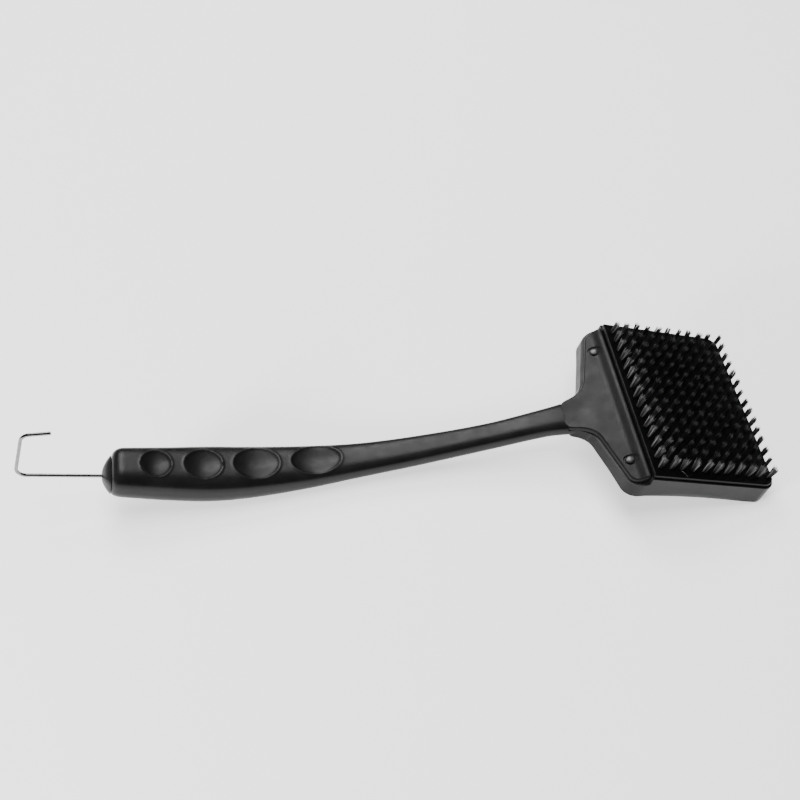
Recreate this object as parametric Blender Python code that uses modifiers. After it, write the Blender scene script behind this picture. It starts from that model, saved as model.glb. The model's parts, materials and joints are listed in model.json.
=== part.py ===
"""Grill cleaning brush with a wide bristle head, a long hollow moulded handle and a swivelling wire hook.

Everything is modelled in the head's own frame, in millimetres: u runs along the handle towards the head's
tip, v across the head, and n out of the bristle side, with n = 0 on the brush block's top face.  One empty
then tips that frame so that the finished brush lies at rest on its back on the plane z = 0.
"""

import math

import bmesh
import bpy
from mathutils import Matrix, Vector

MM = 0.001                      # one millimetre in metres
GAP = 0.3                       # clearance between pieces that touch
FAR = 200.0                     # larger than the head, for cutters that run past it

# Bristles: a grid of tufts, each row fixed along one draw strip behind the block.
TUFT_PITCH = 7.0                # along the handle
ROW_PITCH = 7.25                # across the head
TUFTS_PER_ROW = 11
ROWS = 15
TUFT_HEIGHT = 9.0
TUFT_ROOT_RADIUS = 0.95
TUFT_TIP_RADIUS = 1.45
TUFT_SIDES = 6
DRAW_STRIP = (2.2, 0.8)         # width and height of the strip behind each row
GROOVE = (3.3, 1.4)             # width and depth of the groove that holds it

# Brush block: a flange that covers the tray's rim over a body that drops into the tray.
BLOCK_TIP_U = 37.8
BLOCK_NECK_U = -39.4
BLOCK_TIP_HALF_WIDTH = 56.3
BLOCK_NECK_HALF_WIDTH = 57.0
FLANGE_DEPTH = 2.2
BLOCK_DEPTH = 9.0
BODY_INSET = 1.0

# Head tray, moulded in one piece with the handle.
TRAY_MARGIN = 1.2               # how far the tray stands out around the block
RIM_N = -FLANGE_DEPTH - GAP
TIP_CORNER_RADIUS = 8.0
BACK_EDGE_RADIUS = 2.4
BACK_TIP_N = -14.8              # the flat back, at the tip ...
BACK_BEND_U = -40.0             # ... and where it bends down towards the neck
BACK_BEND_N = -17.6
BACK_LOBE_U = -52.5
BACK_LOBE_N = -21.2
BACK_NECK_U = -74.0
BACK_NECK_N = -33.0
PLATE_HALF_WIDTH = 55.6
RIB_PITCH = 27.0
RIB_THICKNESS = 2.0
FLOOR_THICKNESS = 2.6
WALL = 2.6

# Front plate: a sloping T that clamps the block's neck edge, with a raised ridge beside the bristles.
PLATE_SLOPE = math.radians(29.8)
PLATE_U = -46.2                 # the line of the two screws
PLATE_N = -7.8                  # the plate's face on that line
PLATE_THICKNESS = 2.5
PLATE_EDGE_RADIUS = 0.7
RIDGE_U = BLOCK_NECK_U - GAP
RIDGE_TOP_N = -1.9
RIDGE_WIDTH = 1.3
RIDGE_FOOT = 3.4                # from the ridge's edge to where its flank meets the sloping face
STEM_U = -70.8
SCREW_V = 40.6
SCREW_HEAD_RADIUS = 2.8
SCREW_HEAD_HEIGHT = 0.9
SCREW_RADIUS = 1.5
SCREW_LENGTH = 8.0
POCKET_HALF_WIDTH = 35.0

# Handle: (u, n of the bristle-side face, half width, depth) at the stations that shape it.
STATIONS = (
    (-54.5, -15.6, 14.3, 8.9),
    (-62.5, -17.7, 11.8, 10.3),
    (-70.3, -20.7, 9.8, 10.9),
    (-82.3, -26.6, 8.3, 10.8),
    (-110.2, -42.2, 7.6, 11.1),
    (-148.2, -60.3, 8.8, 11.7),
    (-178.1, -72.4, 10.3, 12.9),
    (-208.0, -81.6, 12.9, 16.3),
    (-237.7, -88.3, 15.1, 20.0),
    (-259.6, -91.8, 15.9, 21.7),
    (-282.5, -94.6, 15.0, 21.7),
    (-303.6, -96.6, 13.9, 21.0),
)
GRIP_END_U = -312.4
END_ROUNDING = 6.0              # length over which the grip's end rounds in towards the cap
END_SHRINK = 0.26
END_DROP = 1.8                  # how far the rounded end and the cap sit towards the grip's back
FRONT_SHARE = 0.42              # share of the depth between the face and the widest line
FRONT_POWER = 3.6               # the face is nearly flat ...
BACK_POWER = 2.4                # ... and the back is round
SECTION_POINTS = 24
STATION_STEP = 9.0
GRIP_WALL = 2.7
BORE_END_U = -194.0
MOUTH_SCALE = 0.56              # the bore's mouth, as a share of the grip's section
MOUTH_LENGTH = 9.0

# Finger scallops: (u, length, width) of each shallow oval on the grip's face.
SCALLOPS = ((-289.0, 17.4, 18.6), (-263.1, 21.4, 20.8), (-233.8, 25.8, 22.2), (-201.0, 27.8, 20.2))
SCALLOP_DEPTH = 1.7
SCALLOP_SPHERE = 6.0            # half height of the ellipsoid that cuts it

# End cap and hook, along the grip's axis where it ends.
CAP_LENGTH = 5.0
CAP_NOSE_SCALE = 0.16
PLUG_LENGTH = 11.0
PLUG_WALL = 1.6
NOSE_THICKNESS = 4.0
WIRE_RADIUS = 1.0
WIRE_SIDES_RESOLUTION = 2
WIRE_BORE_RADIUS = WIRE_RADIUS + GAP
SHANK_LENGTH = 46.0             # from the cap's nose to the upright
UPRIGHT_LENGTH = 34.0
UPRIGHT_LEAN = math.radians(5.4)        # back towards the grip
HOOK_BEND = 5.5
HOOK_TIP_LENGTH = 15.5          # the return leg, back from the upright
HOOK_TIP_LEAN = math.radians(8.7)
WIRE_INSIDE = 10.0              # from the cap's nose back to the wire's inner end
RING_RADIUS = 2.8
RING_THICKNESS = 1.2

REST_PASSES = 12                # passes that level the head and the grip on the resting plane


# ---------------------------------------------------------------------------------------------- scene tools

def clear_scene():
    for obj in list(bpy.data.objects):
        bpy.data.objects.remove(obj, do_unlink=True)


def make_collection(name):
    collection = bpy.data.collections.new(name)
    bpy.context.scene.collection.children.link(collection)
    return collection


def make_material(name, colour, roughness, metallic=0.0):
    material = bpy.data.materials.new(name)
    material.use_nodes = True
    shader = material.node_tree.nodes["Principled BSDF"]
    shader.inputs["Base Color"].default_value = (*colour, 1.0)
    shader.inputs["Roughness"].default_value = roughness
    shader.inputs["Metallic"].default_value = metallic
    return material


clear_scene()
PARTS = make_collection("grill_cleaning_brush")
CUTTERS = make_collection("cutters")
FRAME = bpy.data.objects.new("head_frame", None)
PARTS.objects.link(FRAME)
GREY_PLASTIC = make_material("grey_plastic", (0.055, 0.055, 0.058), 0.55)
BLACK_PLASTIC = make_material("black_plastic", (0.012, 0.012, 0.013), 0.5)
BRISTLE_NYLON = make_material("bristle_nylon", (0.02, 0.02, 0.021), 0.4)
SCREW_STEEL = make_material("screw_steel", (0.16, 0.16, 0.165), 0.4, 0.8)
HOOK_STEEL = make_material("hook_steel", (0.75, 0.75, 0.76), 0.2, 1.0)


def place(name, mesh, matrix=None):
    """Put a mesh in the head's frame, as a helper until finish() makes it a part."""
    obj = bpy.data.objects.new(name, mesh)
    obj.matrix_local = matrix or Matrix.Identity(4)
    obj.parent = FRAME
    obj.hide_render = True
    obj.display_type = "WIRE"
    CUTTERS.objects.link(obj)
    return obj


def finish(obj, material):
    """Turn a helper into a finished part."""
    CUTTERS.objects.unlink(obj)
    PARTS.objects.link(obj)
    obj.hide_render = False
    obj.display_type = "TEXTURED"
    obj.data.materials.clear()
    obj.data.materials.append(material)
    return obj


def boolean(obj, tool, operation):
    modifier = obj.modifiers.new(tool.name, "BOOLEAN")
    modifier.operation = operation
    modifier.solver = "EXACT"
    modifier.object = tool


def round_edges(obj, radius, segments):
    modifier = obj.modifiers.new("rounded_edges", "BEVEL")
    modifier.width = radius * MM
    modifier.segments = segments
    modifier.limit_method = "ANGLE"
    modifier.angle_limit = math.radians(50.0)


def mesh_of(curve_object):
    """Turn a filled curve into a closed mesh and remove the curve."""
    graph = bpy.context.evaluated_depsgraph_get()
    mesh = bpy.data.meshes.new_from_object(curve_object.evaluated_get(graph))
    bpy.data.objects.remove(curve_object, do_unlink=True)
    bm = bmesh.new()
    bm.from_mesh(mesh)
    bmesh.ops.remove_doubles(bm, verts=bm.verts, dist=1e-6)
    bm.to_mesh(mesh)
    bm.free()
    return mesh


def shade_round(obj, degrees=40.0):
    obj.data.shade_smooth()
    obj.data.set_sharp_from_angle(angle=math.radians(degrees))


# ------------------------------------------------------------------------------------------- outline tools

def corner_arc(before, corner, after, radius, steps):
    """The points of the arc of one radius that rounds a corner between its two neighbours."""
    to_before = (before - corner).normalized()
    to_after = (after - corner).normalized()
    half = to_before.angle(to_after) / 2.0
    centre = corner + (to_before + to_after).normalized() * (radius / math.sin(half))
    start = corner + to_before * (radius / math.tan(half)) - centre
    end = corner + to_after * (radius / math.tan(half)) - centre
    return [centre + start.slerp(end, step / steps) * radius for step in range(steps + 1)]


def rounded(corners, steps=5, closed=True):
    """Round each (x, y, radius) corner of an outline or, if it isn't closed, of a path."""
    spots = [Vector(corner[:2]) for corner in corners]
    points = []
    for index, corner in enumerate(corners):
        is_end = not closed and index in (0, len(corners) - 1)
        if is_end or corner[2] == 0.0:
            points.append(spots[index])
            continue
        following = spots[(index + 1) % len(spots)]
        points += corner_arc(spots[index - 1], spots[index], following, corner[2], steps)
    return points


def mirrored(half):
    """Close a half outline, listed from the tip to the neck at v > 0, with its mirror image."""
    return list(half) + [(x, -y, radius) for x, y, radius in reversed(half)]


def grown(corners, distance):
    """Move every side of an outline outwards by one distance."""
    spots = [Vector(corner[:2]) for corner in corners]
    area = sum(a.cross(b) for a, b in zip(spots, spots[1:] + spots[:1]))
    turn = math.copysign(1.0, area)
    result = []
    for index, corner in enumerate(corners):
        into = (spots[index] - spots[index - 1]).normalized()
        out = (spots[(index + 1) % len(spots)] - spots[index]).normalized()
        into_normal = Vector((into.y, -into.x)) * turn
        out_normal = Vector((out.y, -out.x)) * turn
        shift = (into_normal + out_normal) * (distance / (1.0 + into_normal.dot(out_normal)))
        bulges = into.cross(out) * turn > 0.0
        radius = max(corner[2] + (distance if bulges else -distance), 0.3) if corner[2] else 0.0
        result.append((corner[0] + shift.x, corner[1] + shift.y, radius))
    return result


def flat_mesh(name, points, thickness):
    """A filled outline, extruded by half the thickness to each side of its plane."""
    curve = bpy.data.curves.new(name, "CURVE")
    curve.dimensions = "2D"
    curve.fill_mode = "BOTH"
    curve.extrude = thickness / 2.0 * MM
    spline = curve.splines.new("POLY")
    spline.points.add(len(points) - 1)
    for spot, point in zip(spline.points, points):
        spot.co = (point.x * MM, point.y * MM, 0.0, 1.0)
    spline.use_cyclic_u = True
    obj = bpy.data.objects.new(name, curve)
    bpy.context.scene.collection.objects.link(obj)
    return mesh_of(obj)


def plan_solid(name, corners, low, high):
    """A (u, v) outline as a solid between two values of n."""
    mesh = flat_mesh(name, rounded(corners), high - low)
    return place(name, mesh, Matrix.Translation((0.0, 0.0, (low + high) / 2.0 * MM)))


def side_solid(name, corners, half_width):
    """A (u, n) outline as a solid from -half_width to half_width across the head."""
    mesh = flat_mesh(name, rounded(corners), 2.0 * half_width)
    return place(name, mesh, Matrix.Rotation(math.radians(90.0), 4, "X"))


def cylinder(name, radius, start, direction, length, sides=24):
    bm = bmesh.new()
    bmesh.ops.create_cone(bm, cap_ends=True, segments=sides, radius1=radius * MM, radius2=radius * MM,
                          depth=length * MM)
    mesh = bpy.data.meshes.new(name)
    bm.to_mesh(mesh)
    bm.free()
    turn = Vector((0.0, 0.0, 1.0)).rotation_difference(direction).to_matrix().to_4x4()
    middle = (start + direction * (length / 2.0)) * MM
    obj = place(name, mesh, Matrix.Translation(middle) @ turn)
    shade_round(obj)
    return obj


def boxes(name, spans):
    """One mesh of separate boxes, each a ((u, u), (v, v), (n, n)) span."""
    bm = bmesh.new()
    for span in spans:
        size = Vector([(high - low) * MM for low, high in span])
        middle = Vector([(high + low) / 2.0 * MM for low, high in span])
        bmesh.ops.create_cube(bm, size=1.0, matrix=Matrix.Translation(middle) @ Matrix.Diagonal((*size, 1.0)))
    mesh = bpy.data.meshes.new(name)
    bm.to_mesh(mesh)
    bm.free()
    return place(name, mesh)


# --------------------------------------------------------------------------------------------- handle shape

def station(u):
    """Face height, half width and depth of the handle at u, on a smooth curve through the stations."""
    index = 1
    while index < len(STATIONS) - 1 and u < STATIONS[index][0]:
        index += 1
    left, right = STATIONS[index - 1], STATIONS[index]
    before = STATIONS[max(index - 2, 0)]
    after = STATIONS[min(index + 1, len(STATIONS) - 1)]
    span = right[0] - left[0]
    t = (u - left[0]) / span
    values = []
    for column in (1, 2, 3):
        slope_left = (right[column] - before[column]) / (right[0] - before[0])
        slope_right = (after[column] - left[column]) / (after[0] - left[0])
        values.append((2 * t ** 3 - 3 * t ** 2 + 1) * left[column]
                      + (t ** 3 - 2 * t ** 2 + t) * span * slope_left
                      + (3 * t ** 2 - 2 * t ** 3) * right[column]
                      + (t ** 3 - t ** 2) * span * slope_right)
    return values


def handle_axes(u):
    """A point on the handle's face at u, and the face's outward normal there."""
    step = 0.5
    face = station(u)[0]
    slope = math.atan2(station(u + step)[0] - station(u - step)[0], 2.0 * step)
    return Vector((u, 0.0, face)), Vector((-math.sin(slope), 0.0, math.cos(slope)))


def section(half_width, depth, count=SECTION_POINTS):
    """(across, down) points of a section whose face is nearly flat and whose back is round."""
    points = []
    for index in range(count):
        angle = 2.0 * math.pi * (index + 0.5) / count
        is_front = math.sin(angle) > 0.0
        power = FRONT_POWER if is_front else BACK_POWER
        height = depth * (FRONT_SHARE if is_front else 1.0 - FRONT_SHARE)
        across = math.copysign(abs(math.cos(angle)) ** (2.0 / power), math.cos(angle)) * half_width
        up = math.copysign(abs(math.sin(angle)) ** (2.0 / power), math.sin(angle)) * height
        points.append((across, up - depth * FRONT_SHARE))
    return points


def handle_ring(u, inset=0.0, scale=1.0):
    """The handle's section at u, drawn in by inset all round and scaled about its middle."""
    face, normal = handle_axes(u)
    half_width, depth = station(u)[1:]
    middle = face - normal * (depth / 2.0)
    ring = []
    for across, down in section(half_width - inset, depth - 2.0 * inset):
        up = down + depth / 2.0 - inset
        ring.append(middle + Vector((0.0, across * scale, 0.0)) + normal * (up * scale))
    return ring


def loft(name, rings):
    """Skin a list of rings, all with the same number of points, and close both ends."""
    bm = bmesh.new()
    rows = [[bm.verts.new(point * MM) for point in ring] for ring in rings]
    for near, far in zip(rows, rows[1:]):
        for index in range(len(near)):
            bm.faces.new((near[index - 1], near[index], far[index], far[index - 1]))
    bm.faces.new(rows[0])
    bm.faces.new(rows[-1])
    bmesh.ops.recalc_face_normals(bm, faces=bm.faces)
    mesh = bpy.data.meshes.new(name)
    bm.to_mesh(mesh)
    bm.free()
    obj = place(name, mesh)
    shade_round(obj, 35.0)
    return obj


def end_rounding(share):
    """How far the grip's end has rounded in, from 0 where the rounding starts to nearly 1 at the seam."""
    return 1.0 - math.sqrt(1.0 - (share * 0.97) ** 2)


def steps_between(start, end, step):
    count = max(1, round(abs(end - start) / step))
    return [start + (end - start) * index / count for index in range(count + 1)]


GRIP_FACE, GRIP_NORMAL = handle_axes(GRIP_END_U)
GRIP_AXIS = Vector((-GRIP_NORMAL.z, 0.0, GRIP_NORMAL.x))        # along the grip, away from the head
GRIP_CENTRE = GRIP_FACE - GRIP_NORMAL * (station(GRIP_END_U)[2] / 2.0 + END_DROP)
NOSE = GRIP_CENTRE + GRIP_AXIS * (CAP_LENGTH + GAP)


def axis_ring(distance, scale, inset=0.0):
    """The grip's end section, moved along the grip's axis from where the grip ends."""
    shift = GRIP_AXIS * distance - GRIP_NORMAL * END_DROP
    return [point + shift for point in handle_ring(GRIP_END_U, inset=inset, scale=scale)]


# ------------------------------------------------------------------------------------------------- head plan

def block_corners():
    return mirrored(((BLOCK_TIP_U, BLOCK_TIP_HALF_WIDTH, TIP_CORNER_RADIUS - TRAY_MARGIN),
                     (BLOCK_NECK_U, BLOCK_NECK_HALF_WIDTH, 1.0)))


def plate_corners():
    return mirrored(((RIDGE_U, PLATE_HALF_WIDTH, 0.0), (PLATE_U - 1.3, PLATE_HALF_WIDTH, 6.5),
                     (PLATE_U - 11.1, 13.8, 15.0), (STEM_U, 9.2, 5.5)))


def tray_corners():
    return mirrored(((BLOCK_TIP_U + TRAY_MARGIN, BLOCK_TIP_HALF_WIDTH + TRAY_MARGIN, TIP_CORNER_RADIUS),
                     (PLATE_U - 2.0, BLOCK_NECK_HALF_WIDTH + TRAY_MARGIN, 9.0),
                     (PLATE_U - 12.0, 14.6, 15.0), (STEM_U + 4.5, 9.6, 3.5)))


def plate_face(u):
    return PLATE_N + (u - PLATE_U) * math.tan(PLATE_SLOPE)


PLATE_DROP = PLATE_THICKNESS / math.cos(PLATE_SLOPE)            # the plate's thickness, measured along n


# -------------------------------------------------------------------------------------------- head and handle

def build_head_body():
    """The tray before it is hollowed: its plan, cut to its back's profile, rounded, then cut to its top."""
    body = plan_solid("handle_frame", tray_corners(), -FAR / 4.0, FAR / 4.0)
    beyond_tip = BLOCK_TIP_U + 5.0
    back = ((beyond_tip, FAR / 5.0, 0.0), (BACK_NECK_U, FAR / 5.0, 0.0),
            (BACK_NECK_U, BACK_NECK_N, 0.0), (BACK_LOBE_U, BACK_LOBE_N, 0.0),
            (BACK_BEND_U, BACK_BEND_N, 0.0), (beyond_tip, BACK_TIP_N, 0.0))
    boolean(body, side_solid("head_back", back, FAR), "INTERSECT")
    round_edges(body, BACK_EDGE_RADIUS, 3)
    top = ((beyond_tip, RIM_N, 0.0), (RIDGE_U, RIM_N, 0.0), (RIDGE_U, plate_face(RIDGE_U) - PLATE_DROP, 0.0),
           (BACK_NECK_U, plate_face(BACK_NECK_U) - PLATE_DROP, 0.0), (BACK_NECK_U, FAR / 3.0, 0.0),
           (beyond_tip, FAR / 3.0, 0.0))
    boolean(body, side_solid("head_top", top, FAR), "DIFFERENCE")
    return body


def build_handle_loft():
    """The neck and grip, rounded in where the end cap meets them."""
    rings = [handle_ring(u) for u in steps_between(STATIONS[0][0], GRIP_END_U + END_ROUNDING, STATION_STEP)]
    for share in (0.35, 0.65, 0.87, 1.0):
        rounding = end_rounding(share)
        ring = handle_ring(GRIP_END_U + END_ROUNDING * (1.0 - share), scale=1.0 - END_SHRINK * rounding)
        rings.append([point - GRIP_NORMAL * (END_DROP * rounding) for point in ring])
    return loft("handle_loft", rings)


def build_plate_seat():
    """The space for the front plate: its plan, grown by the gap, above the face that it sits on."""
    seat = plan_solid("plate_seat", grown(plate_corners(), GAP), -FAR / 4.0, FAR / 4.0)
    low = PLATE_DROP + GAP
    profile = ((RIDGE_U + GAP, FAR / 5.0, 0.0), (RIDGE_U + GAP, plate_face(RIDGE_U + GAP) - low, 0.0),
               (BACK_NECK_U, plate_face(BACK_NECK_U) - low, 0.0), (BACK_NECK_U, FAR / 5.0, 0.0))
    boolean(seat, side_solid("plate_seat_profile", profile, FAR), "INTERSECT")
    return seat


def screw_points():
    """Where each screw's axis meets the plate's face, and the direction of that axis into the boss."""
    inwards = Vector((math.sin(PLATE_SLOPE), 0.0, -math.cos(PLATE_SLOPE)))
    return [(label, Vector((PLATE_U, sign * SCREW_V, PLATE_N)), inwards) for label, sign in
            (("near", -1.0), ("far", 1.0))]


def build_plate_pocket():
    """The hollow under the front plate, between the two solid lobes that the screws go into."""
    corners = mirrored(((RIDGE_U - WALL, POCKET_HALF_WIDTH, 1.0), (PLATE_U - 2.4, POCKET_HALF_WIDTH, 1.5),
                        (PLATE_U - 7.0, 15.5, 5.0), (PLATE_U - 13.6, 6.5, 2.0)))
    pocket = plan_solid("plate_pocket", corners, -FAR / 4.0, FAR / 4.0)
    beyond_ridge = RIDGE_U + 1.0
    floor = ((beyond_ridge, FAR / 5.0, 0.0), (beyond_ridge, BACK_BEND_N + FLOOR_THICKNESS, 0.0),
             (BACK_LOBE_U, BACK_LOBE_N + FLOOR_THICKNESS, 0.0),
             (BACK_NECK_U, BACK_NECK_N + FLOOR_THICKNESS, 0.0), (BACK_NECK_U, FAR / 5.0, 0.0))
    boolean(pocket, side_solid("plate_pocket_floor", floor, FAR), "INTERSECT")
    return pocket


def build_tray_cells():
    """Cells between the ribs on the tray's floor; the block rests on the ribs."""
    edge_v = BLOCK_TIP_HALF_WIDTH - BODY_INSET - 2.0
    low = BACK_TIP_N + FLOOR_THICKNESS
    spans = []
    for row in range(4):
        for column in range(3):
            middle_v = (row - 1.5) * RIB_PITCH
            middle_u = (column - 1.0) * 24.0
            spans.append(((middle_u - 12.0 + RIB_THICKNESS / 2.0, middle_u + 12.0 - RIB_THICKNESS / 2.0),
                          (max(-edge_v, middle_v - (RIB_PITCH - RIB_THICKNESS) / 2.0),
                           min(edge_v, middle_v + (RIB_PITCH - RIB_THICKNESS) / 2.0)),
                          (low, -BLOCK_DEPTH)))
    return boxes("tray_cells", spans)


def build_scallop(index, u, length, width):
    """An ellipsoid that dips into the grip's face and leaves an oval of the given length and width."""
    face, normal = handle_axes(u)
    lift = SCALLOP_SPHERE - SCALLOP_DEPTH
    share = math.sqrt(1.0 - (lift / SCALLOP_SPHERE) ** 2)
    bm = bmesh.new()
    bmesh.ops.create_uvsphere(bm, u_segments=20, v_segments=12, radius=1.0)
    mesh = bpy.data.meshes.new("scallop")
    bm.to_mesh(mesh)
    bm.free()
    size = Matrix.Diagonal((length / 2.0 / share * MM, width / 2.0 / share * MM, SCALLOP_SPHERE * MM, 1.0))
    mesh.transform(size)
    tilt = Vector((0.0, 0.0, 1.0)).rotation_difference(normal).to_matrix().to_4x4()
    return place("scallop_%d" % index, mesh, Matrix.Translation((face + normal * lift) * MM) @ tilt)


def build_handle_frame():
    frame = build_head_body()
    boolean(frame, build_handle_loft(), "UNION")
    boolean(frame, build_plate_seat(), "DIFFERENCE")
    pocket_corners = grown(block_corners(), -BODY_INSET + GAP)
    boolean(frame, plan_solid("tray_pocket", pocket_corners, -BLOCK_DEPTH - GAP, FAR / 4.0), "DIFFERENCE")
    boolean(frame, build_tray_cells(), "DIFFERENCE")
    boolean(frame, build_plate_pocket(), "DIFFERENCE")
    for label, point, inwards in screw_points():
        pilot = cylinder("pilot_" + label, SCREW_RADIUS + GAP, point, inwards, SCREW_LENGTH + 1.0, 16)
        boolean(frame, pilot, "DIFFERENCE")
    bore_end = GRIP_END_U + MOUTH_LENGTH
    bore = [handle_ring(u, inset=GRIP_WALL) for u in steps_between(BORE_END_U, bore_end, 16.0)]
    boolean(frame, loft("grip_bore", bore), "DIFFERENCE")
    mouth = [axis_ring(distance, MOUTH_SCALE) for distance in (-MOUTH_LENGTH - 2.0, 1.0)]
    boolean(frame, loft("bore_mouth", mouth), "DIFFERENCE")
    for index, (u, length, width) in enumerate(SCALLOPS, 1):
        boolean(frame, build_scallop(index, u, length, width), "DIFFERENCE")
    return finish(frame, GREY_PLASTIC)


# ----------------------------------------------------------------------------------------- block and bristles

def tuft_u(index):
    return (index - (TUFTS_PER_ROW - 1) / 2.0) * TUFT_PITCH


def row_v(row):
    return (row - (ROWS - 1) / 2.0) * ROW_PITCH


def prisms(name, spots, radius_low, radius_high, low, high):
    """One mesh of upright prisms, one at each (u, v) spot."""
    bm = bmesh.new()
    for u, v in spots:
        middle = Matrix.Translation(Vector((u, v, (low + high) / 2.0)) * MM)
        bmesh.ops.create_cone(bm, cap_ends=True, segments=TUFT_SIDES, radius1=radius_low * MM,
                              radius2=radius_high * MM, depth=(high - low) * MM, matrix=middle)
    mesh = bpy.data.meshes.new(name)
    bm.to_mesh(mesh)
    bm.free()
    return place(name, mesh)


def build_brush_block():
    """The block: flange and body, a groove behind each row and a hole for each tuft."""
    block = plan_solid("brush_block", block_corners(), -FLANGE_DEPTH, 0.0)
    body = plan_solid("block_body", grown(block_corners(), -BODY_INSET), -BLOCK_DEPTH, -FLANGE_DEPTH / 2.0)
    boolean(block, body, "UNION")
    reach = tuft_u(TUFTS_PER_ROW - 1) + GROOVE[0] / 2.0
    middles = [row_v(row) for row in range(ROWS)]
    spans = [((-reach, reach), (middle - GROOVE[0] / 2.0, middle + GROOVE[0] / 2.0),
              (-BLOCK_DEPTH - 1.0, -BLOCK_DEPTH + GROOVE[1])) for middle in middles]
    boolean(block, boxes("strip_grooves", spans), "DIFFERENCE")
    spots = [(tuft_u(index), middle) for middle in middles for index in range(TUFTS_PER_ROW)]
    tuft_length = TUFT_HEIGHT + BLOCK_DEPTH
    radius_at_top = TUFT_ROOT_RADIUS + (TUFT_TIP_RADIUS - TUFT_ROOT_RADIUS) * BLOCK_DEPTH / tuft_length
    hole = radius_at_top + GAP
    boolean(block, prisms("tuft_holes", spots, hole, hole, -BLOCK_DEPTH - 1.0, 1.0), "DIFFERENCE")
    return finish(block, BLACK_PLASTIC)


def build_bristle_row(row):
    """One row of tufts on its draw strip, which lies in the groove behind the block."""
    v = row_v(row)
    half_width, height = DRAW_STRIP[0] / 2.0, DRAW_STRIP[1]
    half_length = tuft_u(TUFTS_PER_ROW - 1) + half_width
    root = -BLOCK_DEPTH + GAP
    strip = boxes("bristle_row_%02d" % (row + 1),
                  [((-half_length, half_length), (v - half_width, v + half_width), (root, root + height))])
    spots = [(tuft_u(index), v) for index in range(TUFTS_PER_ROW)]
    tufts = prisms("tufts_%02d" % (row + 1), spots, TUFT_ROOT_RADIUS, TUFT_TIP_RADIUS,
                   root + height / 2.0, TUFT_HEIGHT)
    boolean(strip, tufts, "UNION")
    return finish(strip, BRISTLE_NYLON)


# ------------------------------------------------------------------------------------------------ front plate

def build_front_plate():
    """The sloping T plate, with a ridge along its bristle side and a countersunk hole for each screw."""
    plate = plan_solid("front_plate", plate_corners(), -FAR / 4.0, FAR / 4.0)
    foot_u = RIDGE_U - RIDGE_FOOT
    profile = ((RIDGE_U + 1.0, RIDGE_TOP_N, 0.0), (RIDGE_U - RIDGE_WIDTH, RIDGE_TOP_N, 0.5),
               (foot_u, plate_face(foot_u), 2.0), (BACK_NECK_U, plate_face(BACK_NECK_U), 0.0),
               (BACK_NECK_U, plate_face(BACK_NECK_U) - PLATE_DROP, 0.0),
               (RIDGE_U + 1.0, plate_face(RIDGE_U + 1.0) - PLATE_DROP, 0.0))
    boolean(plate, side_solid("plate_profile", profile, FAR), "INTERSECT")
    round_edges(plate, PLATE_EDGE_RADIUS, 2)
    for label, point, inwards in screw_points():
        hole = cylinder("plate_hole_" + label, SCREW_RADIUS + GAP, point - inwards * 5.0, inwards, 12.0, 16)
        boolean(plate, hole, "DIFFERENCE")
    return finish(plate, GREY_PLASTIC)


def build_screw(label, point, inwards):
    """A low domed screw: the head is turned, and the shank runs through the plate into its boss."""
    head_profile = [(0.0, SCREW_HEAD_HEIGHT), (0.45, 0.93), (0.8, 0.68), (1.0, 0.25), (1.0, 0.0)]
    points = [(0.0, SCREW_HEAD_HEIGHT)]
    points += [(share * SCREW_HEAD_RADIUS, height * SCREW_HEAD_HEIGHT) for share, height in head_profile[1:]]
    points += [(SCREW_RADIUS, 0.0), (SCREW_RADIUS, -SCREW_LENGTH + 1.2), (0.0, -SCREW_LENGTH)]
    mesh = bpy.data.meshes.new("plate_screw_" + label)
    mesh.from_pydata([(x * MM, 0.0, z * MM) for x, z in points],
                     [(index, index + 1) for index in range(len(points) - 1)], [])
    lift = Matrix.Translation((point - inwards * GAP) * MM)
    turn = Vector((0.0, 0.0, -1.0)).rotation_difference(inwards).to_matrix().to_4x4()
    obj = place("plate_screw_" + label, mesh, lift @ turn)
    screw = obj.modifiers.new("turned", "SCREW")
    screw.steps = 20
    screw.render_steps = 20
    screw.use_merge_vertices = True
    screw.merge_threshold = 0.00001
    shade_round(obj)
    return finish(obj, SCREW_STEEL)


# --------------------------------------------------------------------------------------------- cap and hook

def build_end_cap():
    """A domed cap on a hollow plug that fits the grip's bore; the hook's wire turns in its nose."""
    seam = 1.0 - END_SHRINK * end_rounding(1.0)
    rings = []
    for share in (0.0, 0.25, 0.5, 0.75, 0.92, 1.0):
        dome = math.sqrt(1.0 - share ** 1.5)
        rings.append(axis_ring(GAP + share * CAP_LENGTH, CAP_NOSE_SCALE + (seam - CAP_NOSE_SCALE) * dome))
    cap = loft("end_cap", rings)
    plug = loft("cap_plug", [axis_ring(distance, MOUTH_SCALE, GAP / MOUTH_SCALE)
                             for distance in (-PLUG_LENGTH, 1.5)])
    boolean(cap, plug, "UNION")
    hollow_inset = (GAP + PLUG_WALL) / MOUTH_SCALE
    hollow = loft("cap_hollow", [axis_ring(distance, MOUTH_SCALE, hollow_inset)
                                 for distance in (-PLUG_LENGTH - 1.0, CAP_LENGTH - NOSE_THICKNESS)])
    boolean(cap, hollow, "DIFFERENCE")
    outside = NOSE + GRIP_AXIS * 2.0
    bore = cylinder("wire_bore", WIRE_BORE_RADIUS, outside, -GRIP_AXIS, NOSE_THICKNESS + 8.0, 16)
    boolean(cap, bore, "DIFFERENCE")
    return finish(cap, GREY_PLASTIC)


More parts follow.
